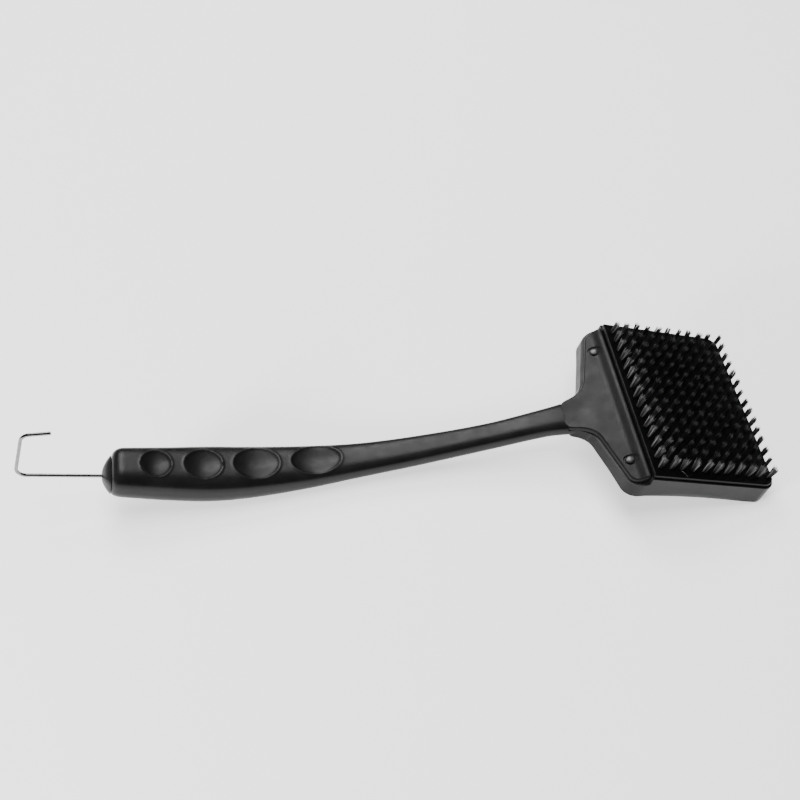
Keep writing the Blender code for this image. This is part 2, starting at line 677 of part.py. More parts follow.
def build_hook():
    """The hanging hook: one wire, bent up at its far end and back over itself."""
    top_x = SHANK_LENGTH - UPRIGHT_LENGTH * math.sin(UPRIGHT_LEAN)
    top_y = UPRIGHT_LENGTH * math.cos(UPRIGHT_LEAN)
    tip_x = top_x - HOOK_TIP_LENGTH * math.cos(HOOK_TIP_LEAN)
    tip_y = top_y + HOOK_TIP_LENGTH * math.sin(HOOK_TIP_LEAN)
    path = rounded(((-WIRE_INSIDE, 0.0, 0.0), (SHANK_LENGTH, 0.0, HOOK_BEND), (top_x, top_y, HOOK_BEND),
                    (tip_x, tip_y, 0.0)), 6, closed=False)
    curve = bpy.data.curves.new("hanging_hook", "CURVE")
    curve.dimensions = "3D"
    curve.bevel_depth = WIRE_RADIUS * MM
    curve.bevel_resolution = WIRE_SIDES_RESOLUTION
    curve.use_fill_caps = True
    spline = curve.splines.new("POLY")
    spline.points.add(len(path) - 1)
    for spot, point in zip(spline.points, path):
        spot.co = (*((NOSE + GRIP_AXIS * point.x + GRIP_NORMAL * point.y) * MM), 1.0)
    obj = bpy.data.objects.new("hanging_hook", curve)
    bpy.context.scene.collection.objects.link(obj)
    hook = place("hanging_hook", mesh_of(obj))
    shade_round(hook)
    return finish(hook, HOOK_STEEL)


def build_retaining_ring():
    """The push-on ring inside the cap that keeps the hook's wire from pulling out."""
    start = NOSE - GRIP_AXIS * (NOSE_THICKNESS + 2.0 * GAP)
    ring = cylinder("hook_retaining_ring", RING_RADIUS, start, -GRIP_AXIS, RING_THICKNESS, 24)
    hole_radius = WIRE_RADIUS + GAP / 2.0
    hole = cylinder("ring_hole", hole_radius, start + GRIP_AXIS, -GRIP_AXIS, RING_THICKNESS + 2.0, 16)
    boolean(ring, hole, "DIFFERENCE")
    return finish(ring, HOOK_STEEL)


# ------------------------------------------------------------------------------------------------- at rest

def lay_at_rest():
    """Tip the frame until the brush lies on its tip's back edge and its grip's belly, over the origin."""
    bpy.context.view_layer.update()
    graph = bpy.context.evaluated_depsgraph_get()
    points = []
    for obj in PARTS.objects:
        if obj.type == "MESH":
            part = obj.evaluated_get(graph)
            points += [part.matrix_world @ vertex.co for vertex in part.data.vertices]
    tilt = 0.0
    for _ in range(REST_PASSES):
        turn = Matrix.Rotation(tilt, 4, "Y")
        turned = [turn @ point for point in points]
        head = min((point for point in turned if point.x > 0.0), key=lambda point: point.z)
        grip = min((point for point in turned if point.x < BACK_NECK_U * MM), key=lambda point: point.z)
        tilt += math.atan2(head.z - grip.z, head.x - grip.x)
    low = [min(point[axis] for point in turned) for axis in range(3)]
    high = [max(point[axis] for point in turned) for axis in range(3)]
    shift = (-(low[0] + high[0]) / 2.0, -(low[1] + high[1]) / 2.0, -low[2])
    FRAME.matrix_world = Matrix.Translation(shift) @ turn


def build():
    build_handle_frame()
    build_brush_block()
    for row in range(ROWS):
        build_bristle_row(row)
    build_front_plate()
    for label, point, inwards in screw_points():
        build_screw(label, point, inwards)
    build_end_cap()
    build_hook()
    build_retaining_ring()
    lay_at_rest()


build()
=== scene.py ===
import json
import math
import random

import bmesh
import bpy
from mathutils import Matrix, Vector


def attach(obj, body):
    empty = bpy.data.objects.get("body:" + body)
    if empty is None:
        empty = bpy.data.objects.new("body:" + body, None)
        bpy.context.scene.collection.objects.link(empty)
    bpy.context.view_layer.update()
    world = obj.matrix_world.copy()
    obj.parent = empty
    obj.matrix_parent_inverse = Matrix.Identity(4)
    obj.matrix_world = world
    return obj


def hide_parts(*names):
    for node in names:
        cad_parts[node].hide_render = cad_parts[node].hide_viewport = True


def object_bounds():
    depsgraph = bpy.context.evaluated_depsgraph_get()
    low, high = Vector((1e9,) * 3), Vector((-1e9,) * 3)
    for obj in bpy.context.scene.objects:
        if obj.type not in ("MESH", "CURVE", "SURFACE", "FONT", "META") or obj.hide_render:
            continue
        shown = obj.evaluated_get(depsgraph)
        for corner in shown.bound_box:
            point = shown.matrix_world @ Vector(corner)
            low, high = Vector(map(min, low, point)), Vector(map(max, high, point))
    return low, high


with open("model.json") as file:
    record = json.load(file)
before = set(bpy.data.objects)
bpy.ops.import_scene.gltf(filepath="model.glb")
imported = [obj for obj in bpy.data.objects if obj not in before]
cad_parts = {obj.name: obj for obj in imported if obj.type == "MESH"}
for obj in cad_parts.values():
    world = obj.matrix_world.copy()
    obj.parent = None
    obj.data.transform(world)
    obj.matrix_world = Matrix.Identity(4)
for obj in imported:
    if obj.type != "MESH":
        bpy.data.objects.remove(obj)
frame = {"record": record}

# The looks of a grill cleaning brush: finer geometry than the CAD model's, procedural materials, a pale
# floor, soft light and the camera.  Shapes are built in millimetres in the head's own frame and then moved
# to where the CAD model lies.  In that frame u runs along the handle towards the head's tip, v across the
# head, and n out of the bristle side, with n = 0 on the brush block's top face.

CAD_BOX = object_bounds()
MM = 0.001                      # one millimetre in metres
GAP = 0.3                       # clearance between pieces that touch
FAR = 200.0                     # larger than the head, for cutters that run past it

# Camera: where it stands, as seen from the point it looks at, in metres.
AIM = Vector((0.0050, 0.0121, 0.0447))
AZIMUTH = math.radians(-98.29)
ELEVATION = math.radians(49.80)
ROLL = math.radians(-0.46)
DISTANCE = 0.7276
LENS = 58.5                     # on a 36 mm sensor

FLOOR_HALF_SIZE = 6.0           # in metres
FLOOR_GLOW = 0.9                # the floor is a back-lit white table

# Bristles.
TUFT_PITCH = 7.0
ROW_PITCH = 7.25
TUFTS_PER_ROW = 11
ROWS = 15
TUFT_HEIGHT = 9.0
FILAMENTS = 28                  # in each tuft
FILAMENT_RADIUS = 0.2
FILAMENT_LEVELS = (0.0, 0.2, 0.5, 0.8, 0.97, 1.0)   # shares of its length where a filament has a ring
FILAMENT_TAPER = (1.0, 1.0, 0.97, 0.88, 0.5)        # its width at all of them but the tip
TUFT_RADIUS = 0.85              # where the tuft leaves the block
TUFT_SPREAD = 2.35              # the most that it has at its tips
TUFT_ROOT_DEPTH = 2.0           # how far down its hole a tuft starts
TUFT_LEAN = 0.6                 # the most that its tips are pushed to one side
TUFT_LIMIT_U = 36.45            # the tips' furthest reach along the handle
STRANDS = 3                     # a tuft's filaments gather in this many strands
STRAND_PULL = 0.3
EDGE_TUFT_PAINTED_LIGHT = 0.9                 # how much painted light pales the tufts on the neck side and the near side
HOLE_RADIUS = 1.5
HOLE_DEPTH = 5.0
DRAW_STRIP = (2.2, 0.8)         # width and height of the strip behind each row

# Brush block and head tray.
BLOCK_TIP_U = 37.8
BLOCK_NECK_U = -39.4
BLOCK_TIP_HALF_WIDTH = 56.3
BLOCK_NECK_HALF_WIDTH = 57.0
FLANGE_DEPTH = 2.2
BLOCK_DEPTH = 9.0
BLOCK_EDGE_RADIUS = 0.45
BODY_INSET = 1.0                # from the flange's outline to the body's under it
TRAY_MARGIN = 1.2               # how far the tray stands out around the block
TRAY_NECK_REACH = 4.5           # how far short of the plate's stem its outline stops
TRAY_NECK_HALF_WIDTH = 9.6
TRAY_WAIST_HALF_WIDTH = 14.6
RIM_N = -FLANGE_DEPTH - GAP
TIP_CORNER_RADIUS = 8.0
BACK_EDGE_RADIUS = 2.4
BACK_TIP_N = -14.8
WALL_V = 57.85                  # the side walls, halfway along
FACET_HEIGHT = 4.6              # of the arched facet along the bottom of a side wall
FACET_REACH = 36.0              # its half length
FACET_LEAN = math.radians(18.0)
FACET_FOOT = 1.4                # how far below the tray's tip edge it ends
BACK_BEND_U = -40.0
BACK_BEND_N = -17.6
BACK_LOBE_U = -52.5
BACK_LOBE_N = -21.2
BACK_NECK_U = -74.0
BACK_NECK_N = -33.0

# Front plate and its screws.
PLATE_HALF_WIDTH = 55.6
PLATE_SLOPE = math.radians(29.8)
PLATE_U = -46.2
PLATE_N = -7.8
PLATE_THICKNESS = 2.5
PLATE_DROP = PLATE_THICKNESS / math.cos(PLATE_SLOPE)
PLATE_EDGE_RADIUS = 0.7
RIDGE_U = BLOCK_NECK_U - GAP    # the ridge beside the bristles, and where the plate ends
RIDGE_TOP_N = -1.9
RIDGE_WIDTH = 1.3
RIDGE_FOOT = 6.0                # where its flank starts to rise, from RIDGE_U
DISH_DEPTH = 0.75               # of the hollow in the middle of the plate's stem
SHOULDER_U = PLATE_U - 1.3      # where the plate's outline turns from its ends to its stem
WAIST_U = PLATE_U - 11.1
WAIST_HALF_WIDTH = 13.8
STEM_U = -70.8
STEM_HALF_WIDTH = 9.2
SCREW_V = 40.6
SCREW_HEAD_RADIUS = 2.8
SCREW_HEAD_HEIGHT = 0.9
SCREW_RADIUS = 1.5
SCREW_LENGTH = 8.0
COUNTERBORE_RADIUS = 3.3
COUNTERBORE_DEPTH = 0.8

# Handle: (u, n of the bristle-side face, half width, depth) at the stations that shape it.
STATIONS = (
    (-54.5, -15.6, 14.3, 8.9),
    (-62.5, -17.7, 11.8, 10.3),
    (-70.3, -20.7, 9.8, 10.9),
    (-82.3, -26.6, 8.3, 10.8),
    (-110.2, -42.2, 7.6, 11.1),
    (-148.2, -60.3, 8.8, 11.7),
    (-178.1, -72.4, 10.3, 12.9),
    (-208.0, -81.6, 12.9, 16.3),
    (-237.7, -88.3, 15.1, 20.0),
    (-259.6, -91.8, 15.9, 21.7),
    (-282.5, -94.6, 15.0, 21.7),
    (-303.6, -96.6, 13.9, 21.0),
)
GRIP_END_U = -312.4
END_ROUNDING = 6.0              # the length over which the grip's end is rounded
END_SHRINK = 0.26
END_DROP = 1.8
FRONT_SHARE = 0.42              # of a section's depth lies in front of its widest line
FRONT_POWER = 3.6               # a section is a superellipse, squarer in front than behind
BACK_POWER = 2.4
SECTION_POINTS = 160
COARSE_POINTS = 48
TYPICAL_SECTION = (15.0, 21.0)  # half width and depth in the middle of the grip
GRIP_WALL = 2.7
BORE_END_U = -194.0
MOUTH_SCALE = 0.56
MOUTH_LENGTH = 9.0
SCALLOPS = ((-289.0, 17.4, 18.6), (-263.1, 21.4, 20.8), (-233.8, 25.8, 22.2), (-201.0, 27.8, 20.2))
SCALLOPS_START_U = -184.0
SCALLOPS_END_U = -301.0
SCALLOP_DEPTH = 1.7
SCALLOP_SPHERE = 6.0            # each is part of a ball of this radius, stretched to its outline
LIP_HEIGHT = 0.22               # the faint raised lip round each scallop
LIP_WIDTH = 0.75

# End cap and hook.
CAP_LENGTH = 5.0
CAP_NOSE_SCALE = 0.16           # of the grip's last section
PLUG_LENGTH = 11.0
PLUG_WALL = 1.6
NOSE_THICKNESS = 4.0
WIRE_RADIUS = 1.0
SHANK_LENGTH = 46.0
UPRIGHT_LENGTH = 34.0
UPRIGHT_LEAN = math.radians(5.4)
HOOK_BEND = 5.5
HOOK_TIP_LENGTH = 15.5
HOOK_TIP_LEAN = math.radians(8.7)
WIRE_INSIDE = 10.0              # how far the wire runs into the cap
WIRE_END_SCALE = 0.45           # the rounded ends of the wire
WIRE_END_LENGTH = 0.35
RING_RADIUS = 2.8
RING_THICKNESS = 1.2


# --------------------------------------------------------------------------------------------------- camera

def build_camera():
    """Stand the camera on a ball round AIM and roll it about its own line of sight."""
    back = Vector((math.cos(AZIMUTH) * math.cos(ELEVATION), math.sin(AZIMUTH) * math.cos(ELEVATION),
                   math.sin(ELEVATION)))
    level = Vector((0.0, 0.0, 1.0)).cross(back).normalized()
    right = level * math.cos(ROLL) + back.cross(level) * math.sin(ROLL)
    up = back.cross(right)
    data = bpy.data.cameras.new("camera")
    data.lens = LENS
    data.sensor_width = 36.0
    data.clip_start = 0.01
    camera = bpy.data.objects.new("camera", data)
    place = AIM + back * DISTANCE
    camera.matrix_world = Matrix(((right.x, up.x, back.x, place.x), (right.y, up.y, back.y, place.y),
                                  (right.z, up.z, back.z, place.z), (0.0, 0.0, 0.0, 1.0)))
    bpy.context.scene.collection.objects.link(camera)
    bpy.context.scene.camera = camera


# ---------------------------------------------------------------------------------------------- mesh tools

def add_object(name, mesh):
    obj = bpy.data.objects.new(name, mesh)
    bpy.context.scene.collection.objects.link(obj)
    return obj


def mesh_object(name, bm):
    bmesh.ops.recalc_face_normals(bm, faces=bm.faces)
    mesh = bpy.data.meshes.new(name)
    bm.to_mesh(mesh)
    bm.free()
    return add_object(name, mesh)


def bake_modifiers(obj):
    """Replace an object's mesh with what its modifiers make of it."""
    graph = bpy.context.evaluated_depsgraph_get()
    mesh = bpy.data.meshes.new_from_object(obj.evaluated_get(graph))
    obj.modifiers.clear()
    obj.data = mesh


def combine(obj, tool, operation):
    """Join, cut or intersect an object with a tool, and remove the tool."""
    modifier = obj.modifiers.new("combine", "BOOLEAN")
    modifier.operation = operation
    modifier.solver = "EXACT"
    modifier.object = tool
    bake_modifiers(obj)
    bpy.data.objects.remove(tool, do_unlink=True)


def round_edges(obj, radius, segments, degrees=50.0):
    modifier = obj.modifiers.new("rounded_edges", "BEVEL")
    modifier.width = radius
    modifier.segments = segments
    modifier.limit_method = "ANGLE"
    modifier.angle_limit = math.radians(degrees)
    bake_modifiers(obj)


def settle(obj, material, body, node, degrees=30.0):
    """Move a finished piece from the head's frame in millimetres to the scene and dress it.

    Finer curves would reach a little past the CAD model's lowest and highest points, so they stop there.
    """
    obj.data.transform(HEAD @ Matrix.Diagonal((MM, MM, MM, 1.0)))
    for vertex in obj.data.vertices:
        vertex.co.z = min(max(vertex.co.z, CAD_BOX[0][2]), CAD_BOX[1][2])
    obj.data.materials.clear()
    obj.data.materials.append(material)
    obj.data.shade_smooth()
    obj.data.set_sharp_from_angle(angle=math.radians(degrees))
    weighted = obj.modifiers.new("weighted_normals", "WEIGHTED_NORMAL")
    weighted.keep_sharp = True
    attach(obj, body)
    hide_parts(node)
    return obj


# ------------------------------------------------------------------------------------------- outline tools

def corner_arc(before, corner, after, radius, steps):
    """Points of the arc that rounds one corner of an outline."""
    to_before = (before - corner).normalized()
    to_after = (after - corner).normalized()
    half = to_before.angle(to_after) / 2.0
    centre = corner + (to_before + to_after).normalized() * (radius / math.sin(half))
    start = corner + to_before * (radius / math.tan(half)) - centre
    end = corner + to_after * (radius / math.tan(half)) - centre
    return [centre + start.slerp(end, step / steps) * radius for step in range(steps + 1)]


def rounded(corners, steps=14, closed=True):
    """Round each (x, y, radius) corner of an outline or, if it isn't closed, of a path."""
    spots = [Vector(corner[:2]) for corner in corners]
    points = []
    for index, corner in enumerate(corners):
        is_end = not closed and index in (0, len(corners) - 1)
        if is_end or corner[2] == 0.0:
            points.append(spots[index])
            continue
        following = spots[(index + 1) % len(spots)]
        points += corner_arc(spots[index - 1], spots[index], following, corner[2], steps)
    return points


def mirrored(half):
    """A whole outline from the corners on its far side."""
    return list(half) + [(x, -y, radius) for x, y, radius in reversed(half)]


def grown(corners, distance):
    """Move every side of an outline outwards by one distance."""
    spots = [Vector(corner[:2]) for corner in corners]
    area = sum(a.cross(b) for a, b in zip(spots, spots[1:] + spots[:1]))
    turn = math.copysign(1.0, area)
    result = []
    for index, corner in enumerate(corners):
        into = (spots[index] - spots[index - 1]).normalized()
        out = (spots[(index + 1) % len(spots)] - spots[index]).normalized()
        into_normal = Vector((into.y, -into.x)) * turn
        out_normal = Vector((out.y, -out.x)) * turn
        shift = (into_normal + out_normal) * (distance / (1.0 + into_normal.dot(out_normal)))
        bulges = into.cross(out) * turn > 0.0
        radius = max(corner[2] + (distance if bulges else -distance), 0.3) if corner[2] else 0.0
        result.append((corner[0] + shift.x, corner[1] + shift.y, radius))
    return result


def extruded(name, points, low, high, lift):
    """An outline's points as a solid between two heights; lift turns (x, y, height) into a place."""
    bm = bmesh.new()
    floor = [bm.verts.new(lift(point.x, point.y, low)) for point in points]
    roof = [bm.verts.new(lift(point.x, point.y, high)) for point in points]
    bm.faces.new(floor)
    bm.faces.new(roof)
    for index in range(len(points)):
        bm.faces.new((floor[index - 1], floor[index], roof[index], roof[index - 1]))
    return mesh_object(name, bm)


def plan_solid(name, corners, low, high, steps=14):
    """A (u, v) outline as a solid between two values of n."""
    return extruded(name, rounded(corners, steps), low, high, lambda x, y, h: (x, y, h))


def side_solid(name, corners, half_width, steps=14):
    """A (u, n) outline as a solid across the head."""
    return extruded(name, rounded(corners, steps), -half_width, half_width, lambda x, y, h: (x, h, y))


def loft(name, rings):
    """Skin a list of rings, all with the same number of points, and close both ends."""
    bm = bmesh.new()
    rows = [[bm.verts.new(point) for point in ring] for ring in rings]
    for near, far in zip(rows, rows[1:]):
        for index in range(len(near)):
            bm.faces.new((near[index - 1], near[index], far[index], far[index - 1]))
    bm.faces.new(rows[0])
    bm.faces.new(rows[-1])
    return mesh_object(name, bm)


def turned(name, start, direction, profile, sides=48):
    """A turned solid: (distance along the axis, radius) pairs about an axis, closed at both ends."""
    side = direction.orthogonal().normalized()
    other = direction.cross(side)
    rings = []
    for distance, radius in profile:
        middle = start + direction * distance
        rings.append([middle + (side * math.cos(angle) + other * math.sin(angle)) * radius
                      for angle in (2.0 * math.pi * step / sides for step in range(sides))])
    return loft(name, rings)


def cylinder(name, radius, start, direction, length, sides=48):
    return turned(name, start, direction, ((0.0, radius), (length, radius)), sides)


# --------------------------------------------------------------------------------------------- handle shape

def station(u):
    """Face height, half width and depth of the handle at u, on a smooth curve through the stations."""
    index = 1
    while index < len(STATIONS) - 1 and u < STATIONS[index][0]:
        index += 1
    left, right = STATIONS[index - 1], STATIONS[index]
    before = STATIONS[max(index - 2, 0)]
    after = STATIONS[min(index + 1, len(STATIONS) - 1)]
    span = right[0] - left[0]
    t = (u - left[0]) / span
    values = []
    for column in (1, 2, 3):
        slope_left = (right[column] - before[column]) / (right[0] - before[0])
        slope_right = (after[column] - left[column]) / (after[0] - left[0])
        values.append((2 * t ** 3 - 3 * t ** 2 + 1) * left[column]
                      + (t ** 3 - 2 * t ** 2 + t) * span * slope_left
                      + (3 * t ** 2 - 2 * t ** 3) * right[column]
                      + (t ** 3 - t ** 2) * span * slope_right)
    return values


def handle_axes(u):
    """A point on the handle's face at u, and the face's outward normal there."""
    step = 0.5
    face = station(u)[0]
    slope = math.atan2(station(u + step)[0] - station(u - step)[0], 2.0 * step)
    return Vector((u, 0.0, face)), Vector((-math.sin(slope), 0.0, math.cos(slope)))


def even_angles(count):
    """Angles that place points evenly along a typical section, which is nearly flat in front."""
    fine = 2880
    lengths = [0.0]
    before = section_point(0.0, *TYPICAL_SECTION)
    for index in range(1, fine + 1):
        here = section_point(2.0 * math.pi * index / fine, *TYPICAL_SECTION)
        lengths.append(lengths[-1] + (here - before).length)
        before = here
    angles = []
    index = 0
    for step in range(count):
        target = lengths[-1] * (step + 0.5) / count
        while lengths[index + 1] < target:
            index += 1
        share = (target - lengths[index]) / (lengths[index + 1] - lengths[index])
        angles.append(2.0 * math.pi * (index + share) / fine)
    return angles


def section_point(angle, half_width, depth):
    """(across, down) of the section at an angle: its face is nearly flat and its back is round."""
    is_front = math.sin(angle) > 0.0
    power = FRONT_POWER if is_front else BACK_POWER
    height = depth * (FRONT_SHARE if is_front else 1.0 - FRONT_SHARE)
    across = math.copysign(abs(math.cos(angle)) ** (2.0 / power), math.cos(angle)) * half_width
    up = math.copysign(abs(math.sin(angle)) ** (2.0 / power), math.sin(angle)) * height
    return Vector((across, up - depth * FRONT_SHARE))


SECTION_ANGLES = even_angles(SECTION_POINTS)
COARSE_ANGLES = even_angles(COARSE_POINTS)


def handle_ring(u, inset=0.0, scale=1.0, angles=SECTION_ANGLES):
    """The handle's section at u, drawn in by inset all round and scaled about its middle."""
    face, normal = handle_axes(u)
    half_width, depth = station(u)[1:]
    middle = face - normal * (depth / 2.0)
    ring = []
    for angle in angles:
        across, down = section_point(angle, half_width - inset, depth - 2.0 * inset)
        up = down + depth / 2.0 - inset
        ring.append(middle + Vector((0.0, across * scale, 0.0)) + normal * (up * scale))
    return ring


def end_rounding(share):
    """How far the rounding of the grip's end has come at a share of its length; it stops short of edge-on."""
    return 1.0 - math.sqrt(1.0 - (share * 0.97) ** 2)


def steps_between(start, end, step):
    count = max(1, round(abs(end - start) / step))
    return [start + (end - start) * index / count for index in range(count + 1)]


GRIP_FACE, GRIP_NORMAL = handle_axes(GRIP_END_U)
GRIP_AXIS = Vector((-GRIP_NORMAL.z, 0.0, GRIP_NORMAL.x))
GRIP_CENTRE = GRIP_FACE - GRIP_NORMAL * (station(GRIP_END_U)[2] / 2.0 + END_DROP)
NOSE = GRIP_CENTRE + GRIP_AXIS * (CAP_LENGTH + GAP)


def head_matrix():
    """Where the head's frame lies, from the hook's joint: it runs along the grip's axis at the cap's nose."""
    joint = next(item for item in frame["record"]["behaviour"]["joints"] if item["name"] == "hook_swivel")
    axis = Vector(joint["axis"])
    tilt = math.atan2(axis.x, axis.z) - math.atan2(GRIP_AXIS.x, GRIP_AXIS.z)
    turn = Matrix.Rotation(tilt, 4, "Y")
    return Matrix.Translation(Vector(joint["pos_m"]) - turn @ (NOSE * MM)) @ turn


HEAD = head_matrix()


def axis_ring(distance, scale, inset=0.0, angles=SECTION_ANGLES):
    """The grip's last section, moved out along the grip's axis."""
    shift = GRIP_AXIS * distance - GRIP_NORMAL * END_DROP
    return [point + shift for point in handle_ring(GRIP_END_U, inset, scale, angles)]


def scallop_depth(u, v):
    """How far the grip's face dips at (u, v); slightly negative on the lip round each scallop."""
    lift = SCALLOP_SPHERE - SCALLOP_DEPTH
    share = math.sqrt(1.0 - (lift / SCALLOP_SPHERE) ** 2)
    lips = 0.0
    for middle, length, width in SCALLOPS:
        reach = math.hypot(2.0 * (u - middle) / length, 2.0 * v / width)
        lip = LIP_HEIGHT * math.exp(-((reach - 1.0) * width / 2.0 / LIP_WIDTH) ** 2)
        if reach < 1.0:
            return SCALLOP_SPHERE * math.sqrt(1.0 - (share * reach) ** 2) - lift - lip
        lips += lip
    return -lips


def grip_ring(u):
    """A section of the handle with the scallops pressed into its face."""
    normal = handle_axes(u)[1]
    ring = []
    for angle, point in zip(SECTION_ANGLES, handle_ring(u)):
        if math.sin(angle) > 0.0:
            point = point - normal * scallop_depth(u, point.y)
        ring.append(point)
    return ring


# --------------------------------------------------------------------------------------------- handle frame

def block_corners():
    return mirrored(((BLOCK_TIP_U, BLOCK_TIP_HALF_WIDTH, TIP_CORNER_RADIUS - TRAY_MARGIN),
                     (BLOCK_NECK_U, BLOCK_NECK_HALF_WIDTH, 1.0)))


def plate_corners():
    return mirrored(((RIDGE_U, PLATE_HALF_WIDTH, 0.0), (SHOULDER_U, PLATE_HALF_WIDTH, 6.5),
                     (WAIST_U, WAIST_HALF_WIDTH, 15.0), (STEM_U, STEM_HALF_WIDTH, 5.5)))


def tray_corners():
    return mirrored(((BLOCK_TIP_U + TRAY_MARGIN, BLOCK_TIP_HALF_WIDTH + TRAY_MARGIN, TIP_CORNER_RADIUS),
                     (PLATE_U - 2.0, BLOCK_NECK_HALF_WIDTH + TRAY_MARGIN, 9.0),
                     (PLATE_U - 12.0, TRAY_WAIST_HALF_WIDTH, 15.0),
                     (STEM_U + TRAY_NECK_REACH, TRAY_NECK_HALF_WIDTH, 3.5)))


def plate_face(u):
    """n of the plate's flat slope at u."""
    return PLATE_N + (u - PLATE_U) * math.tan(PLATE_SLOPE)


def build_tray():
    tray = plan_solid("handle_frame_shell", tray_corners(), -FAR / 4.0, FAR / 4.0)
    beyond_tip = BLOCK_TIP_U + 5.0
    back = ((beyond_tip, FAR / 5.0, 0.0), (BACK_NECK_U, FAR / 5.0, 0.0),
            (BACK_NECK_U, BACK_NECK_N, 0.0), (BACK_LOBE_U, BACK_LOBE_N, 6.0),
            (BACK_BEND_U, BACK_BEND_N, 12.0), (beyond_tip, BACK_TIP_N, 0.0))
    combine(tray, side_solid("head_back", back, FAR), "INTERSECT")
    round_edges(tray, BACK_EDGE_RADIUS, 6)
    for sign in (-1.0, 1.0):
        combine(tray, side_facet(sign), "DIFFERENCE")
    return tray


def side_facet(sign):
    """The shallow facet along the bottom of a side wall, deepest halfway along and fading out at its ends."""
    sine, cosine = math.sin(FACET_LEAN), math.cos(FACET_LEAN)
    deepest = FACET_HEIGHT * sine
    arc = [Vector((FACET_REACH * step / 12.0, deepest * (step / 12.0) ** 2)) for step in range(-13, 14)]
    outside = 6.0
    outline = arc + [Vector((arc[-1].x, outside)), Vector((arc[0].x, outside))]
    crease_n = BACK_TIP_N - FACET_FOOT + FACET_HEIGHT

    def lift(x, y, h):
        return x, sign * (WALL_V + y * cosine + h * sine), crease_n - y * sine + h * cosine

    return extruded("side_facet", outline, -FAR / 10.0, FAR / 10.0, lift)


def cut_tray_top(frame_object):
    beyond_tip = BLOCK_TIP_U + 5.0
    top = ((beyond_tip, RIM_N, 0.0), (RIDGE_U, RIM_N, 0.0), (RIDGE_U, plate_face(RIDGE_U) - PLATE_DROP, 0.0),
           (BACK_NECK_U, plate_face(BACK_NECK_U) - PLATE_DROP, 0.0), (BACK_NECK_U, FAR / 3.0, 0.0),
           (beyond_tip, FAR / 3.0, 0.0))
    combine(frame_object, side_solid("head_top", top, FAR), "DIFFERENCE")


def build_handle_loft():
    """The neck and the grip, with close sections where the scallops are and a rounded end."""
    stations = steps_between(STATIONS[0][0], SCALLOPS_START_U, 2.5)
    stations += steps_between(SCALLOPS_START_U, SCALLOPS_END_U, 0.6)[1:]
    stations += steps_between(SCALLOPS_END_U, GRIP_END_U + END_ROUNDING, 1.0)[1:]
    rings = [grip_ring(u) for u in stations]
    for step in range(1, 11):
        share = math.sin(math.pi / 2.0 * step / 10.0)
        rounding = end_rounding(share)
        ring = handle_ring(GRIP_END_U + END_ROUNDING * (1.0 - share), scale=1.0 - END_SHRINK * rounding)
        rings.append([point - GRIP_NORMAL * (END_DROP * rounding) for point in ring])
    return loft("handle_loft", rings)


def build_plate_seat():
    """The room that the plate needs, to be cut from the handle frame."""
    seat = plan_solid("plate_seat", grown(plate_corners(), GAP), -FAR / 4.0, FAR / 4.0)
    low = PLATE_DROP + GAP
    profile = ((RIDGE_U + GAP, FAR / 5.0, 0.0), (RIDGE_U + GAP, plate_face(RIDGE_U + GAP) - low, 0.0),
               (BACK_NECK_U, plate_face(BACK_NECK_U) - low, 0.0), (BACK_NECK_U, FAR / 5.0, 0.0))
    combine(seat, side_solid("plate_seat_profile", profile, FAR), "INTERSECT")
    return seat


def screw_points():
    inwards = Vector((math.sin(PLATE_SLOPE), 0.0, -math.cos(PLATE_SLOPE)))
    return [(label, Vector((PLATE_U, sign * SCREW_V, PLATE_N)), inwards) for label, sign in
            (("near", -1.0), ("far", 1.0))]


def build_handle_frame(material):
    """Tray, neck and grip in one piece, with the pocket, the pilot holes and the grip's bore cut out."""
    shell = build_tray()
    cut_tray_top(shell)
    combine(shell, build_handle_loft(), "UNION")
    combine(shell, build_plate_seat(), "DIFFERENCE")
    pocket_corners = grown(block_corners(), -BODY_INSET + GAP)
    combine(shell, plan_solid("tray_pocket", pocket_corners, -BLOCK_DEPTH - GAP, FAR / 4.0), "DIFFERENCE")
    for label, point, inwards in screw_points():
        pilot = cylinder("pilot_" + label, SCREW_RADIUS + GAP, point, inwards, SCREW_LENGTH + 1.0)
        combine(shell, pilot, "DIFFERENCE")
    bore_end = GRIP_END_U + MOUTH_LENGTH
    bore = [handle_ring(u, GRIP_WALL, 1.0, COARSE_ANGLES) for u in steps_between(BORE_END_U, bore_end, 16.0)]
    combine(shell, loft("grip_bore", bore), "DIFFERENCE")
    mouth = [axis_ring(distance, MOUTH_SCALE, 0.0, COARSE_ANGLES) for distance in (-MOUTH_LENGTH - 2.0, 1.0)]
    combine(shell, loft("bore_mouth", mouth), "DIFFERENCE")
    return settle(shell, material, "brush", "handle_frame")


# ----------------------------------------------------------------------------------------- block and bristles

def tuft_u(index):
    return (index - (TUFTS_PER_ROW - 1) / 2.0) * TUFT_PITCH


def row_v(row):
    return (row - (ROWS - 1) / 2.0) * ROW_PITCH


def build_brush_block(material):
    block = plan_solid("brush_block_fine", block_corners(), -FLANGE_DEPTH, 0.0)
    round_edges(block, BLOCK_EDGE_RADIUS, 4)
    body = plan_solid("block_body", grown(block_corners(), -BODY_INSET), -BLOCK_DEPTH, -FLANGE_DEPTH / 2.0)
    combine(block, body, "UNION")
    bm = bmesh.new()
    above = 1.0
    depth = HOLE_DEPTH + above
    for row in range(ROWS):
        for index in range(TUFTS_PER_ROW):
            middle = Matrix.Translation((tuft_u(index), row_v(row), above - depth / 2.0))
            bmesh.ops.create_cone(bm, cap_ends=True, segments=16, radius1=HOLE_RADIUS, radius2=HOLE_RADIUS,
                                  depth=depth, matrix=middle)
    combine(block, mesh_object("tuft_holes", bm), "DIFFERENCE")
    return settle(block, material, "brush", "brush_block")


